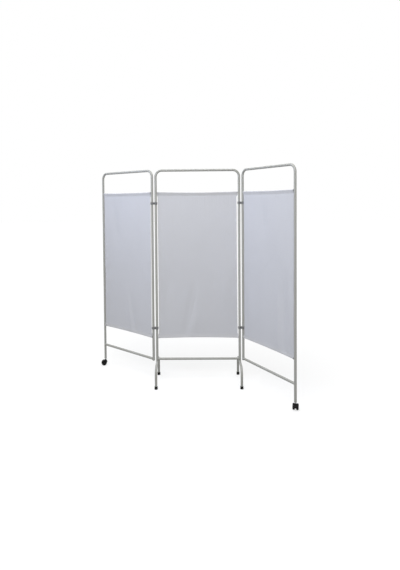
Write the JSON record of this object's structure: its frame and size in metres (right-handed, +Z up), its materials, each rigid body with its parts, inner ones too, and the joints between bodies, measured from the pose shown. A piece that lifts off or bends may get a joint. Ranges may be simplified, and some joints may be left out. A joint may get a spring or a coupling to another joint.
{
  "type": "ward privacy screen on wheels",
  "caption": "Folding ward privacy screen: bent-tube panels with stretched cloth, joined by tube clamps, a centre on leg arches and side panels on swivel casters.",
  "frame": {"origin": "middle of the bounding box's base, on the floor, with the panels opened as in the picture", "axes": "+X along the centre panel towards the right panel, +Y towards the back of the centre panel, +Z up"},
  "size_m": [1.5468, 0.9548, 1.7],
  "materials": {
    "painted_steel": "smooth semi-gloss pale grey paint",
    "plated_steel": "bright plating",
    "clamp_steel": "dark satin pressed steel",
    "black_rubber": "matt black",
    "black_plastic": "moulded satin black",
    "grey_plastic": "moulded matt grey",
    "curtain_cloth": "plain woven cotton, off-white"
  },
  "bodies": {
    "centre_panel": {"centre_frame_tube": "painted_steel", "centre_bottom_rail": "painted_steel", "centre_top_rod": "plated_steel", "centre_bottom_rod": "plated_steel", "centre_curtain": "curtain_cloth", "left_leg_arch": "painted_steel", "right_leg_arch": "painted_steel", "foot_front_left": "black_rubber", "foot_rear_left": "black_rubber", "foot_front_right": "black_rubber", "foot_rear_right": "black_rubber"},
    "left_clamps": {"left_upper_clamp_front": "clamp_steel", "left_upper_clamp_back": "clamp_steel", "left_upper_clamp_bolt": "clamp_steel", "left_upper_clamp_nut": "clamp_steel", "left_lower_clamp_front": "clamp_steel", "left_lower_clamp_back": "clamp_steel", "left_lower_clamp_bolt": "clamp_steel", "left_lower_clamp_nut": "clamp_steel"},
    "left_panel": {"left_frame_tube": "painted_steel", "left_bottom_rail": "painted_steel", "left_top_rod": "plated_steel", "left_bottom_rod": "plated_steel", "left_curtain": "curtain_cloth", "left_end_plug": "grey_plastic", "left_caster_socket": "grey_plastic"},
    "left_caster": {"left_caster_stem": "plated_steel", "left_caster_hood": "black_plastic", "left_caster_axle": "clamp_steel"},
    "left_wheel_a": {"left_caster_wheel_a": "black_rubber"},
    "left_wheel_b": {"left_caster_wheel_b": "black_rubber"},
    "right_clamps": {"right_upper_clamp_front": "clamp_steel", "right_upper_clamp_back": "clamp_steel", "right_upper_clamp_bolt": "clamp_steel", "right_upper_clamp_nut": "clamp_steel", "right_lower_clamp_front": "clamp_steel", "right_lower_clamp_back": "clamp_steel", "right_lower_clamp_bolt": "clamp_steel", "right_lower_clamp_nut": "clamp_steel"},
    "right_panel": {"right_frame_tube": "painted_steel", "right_bottom_rail": "painted_steel", "right_top_rod": "plated_steel", "right_bottom_rod": "plated_steel", "right_curtain": "curtain_cloth", "right_end_plug": "grey_plastic", "right_caster_socket": "grey_plastic"},
    "right_caster": {"right_caster_stem": "plated_steel", "right_caster_hood": "black_plastic", "right_caster_axle": "clamp_steel"},
    "right_wheel_a": {"right_caster_wheel_a": "black_rubber"},
    "right_wheel_b": {"right_caster_wheel_b": "black_rubber"}
  },
  "joints": [
    {"name": "left_clamp_swing", "type": "hinge", "parent": "centre_panel", "child": "left_clamps", "pos_m": [-0.2442, 0.0646, 0.9325], "axis": [0, 0, -1], "range_deg": [0, 90]},
    {"name": "left_panel_fold", "type": "hinge", "parent": "left_clamps", "child": "left_panel", "pos_m": [-0.2732, 0.0646, 0.9325], "axis": [0, 0, -1], "range_deg": [-130.3, 49.7]},
    {"name": "left_caster_swivel", "type": "hinge", "parent": "left_panel", "child": "left_caster", "pos_m": [-0.73462, 0.45591, 0.07], "axis": [0, 0, 1], "continuous": true},
    {"name": "left_wheel_a_spin", "type": "hinge", "parent": "left_caster", "child": "left_wheel_a", "pos_m": [-0.74738, 0.45343, 0.021], "axis": [0.1908, -0.9816, 0], "continuous": true},
    {"name": "left_wheel_b_spin", "type": "hinge", "parent": "left_caster", "child": "left_wheel_b", "pos_m": [-0.74738, 0.45343, 0.021], "axis": [0.1908, -0.9816, 0], "continuous": true},
    {"name": "right_clamp_swing", "type": "hinge", "parent": "centre_panel", "child": "right_clamps", "pos_m": [0.4158, 0.0646, 0.9325], "axis": [0, 0, -1], "range_deg": [0, 90]},
    {"name": "right_panel_fold", "type": "hinge", "parent": "right_clamps", "child": "right_panel", "pos_m": [0.4448, 0.0646, 0.9325], "axis": [0, 0, -1], "range_deg": [-150.4, 29.6]},
    {"name": "right_caster_swivel", "type": "hinge", "parent": "right_panel", "child": "right_caster", "pos_m": [0.74363, -0.46144, 0.07], "axis": [0, 0, 1], "continuous": true},
    {"name": "right_wheel_a_spin", "type": "hinge", "parent": "right_caster", "child": "right_wheel_a", "pos_m": [0.74754, -0.44905, 0.021], "axis": [-0.9537, 0.3007, 0], "continuous": true},
    {"name": "right_wheel_b_spin", "type": "hinge", "parent": "right_caster", "child": "right_wheel_b", "pos_m": [0.74754, -0.44905, 0.021], "axis": [-0.9537, 0.3007, 0], "continuous": true}
  ]
}
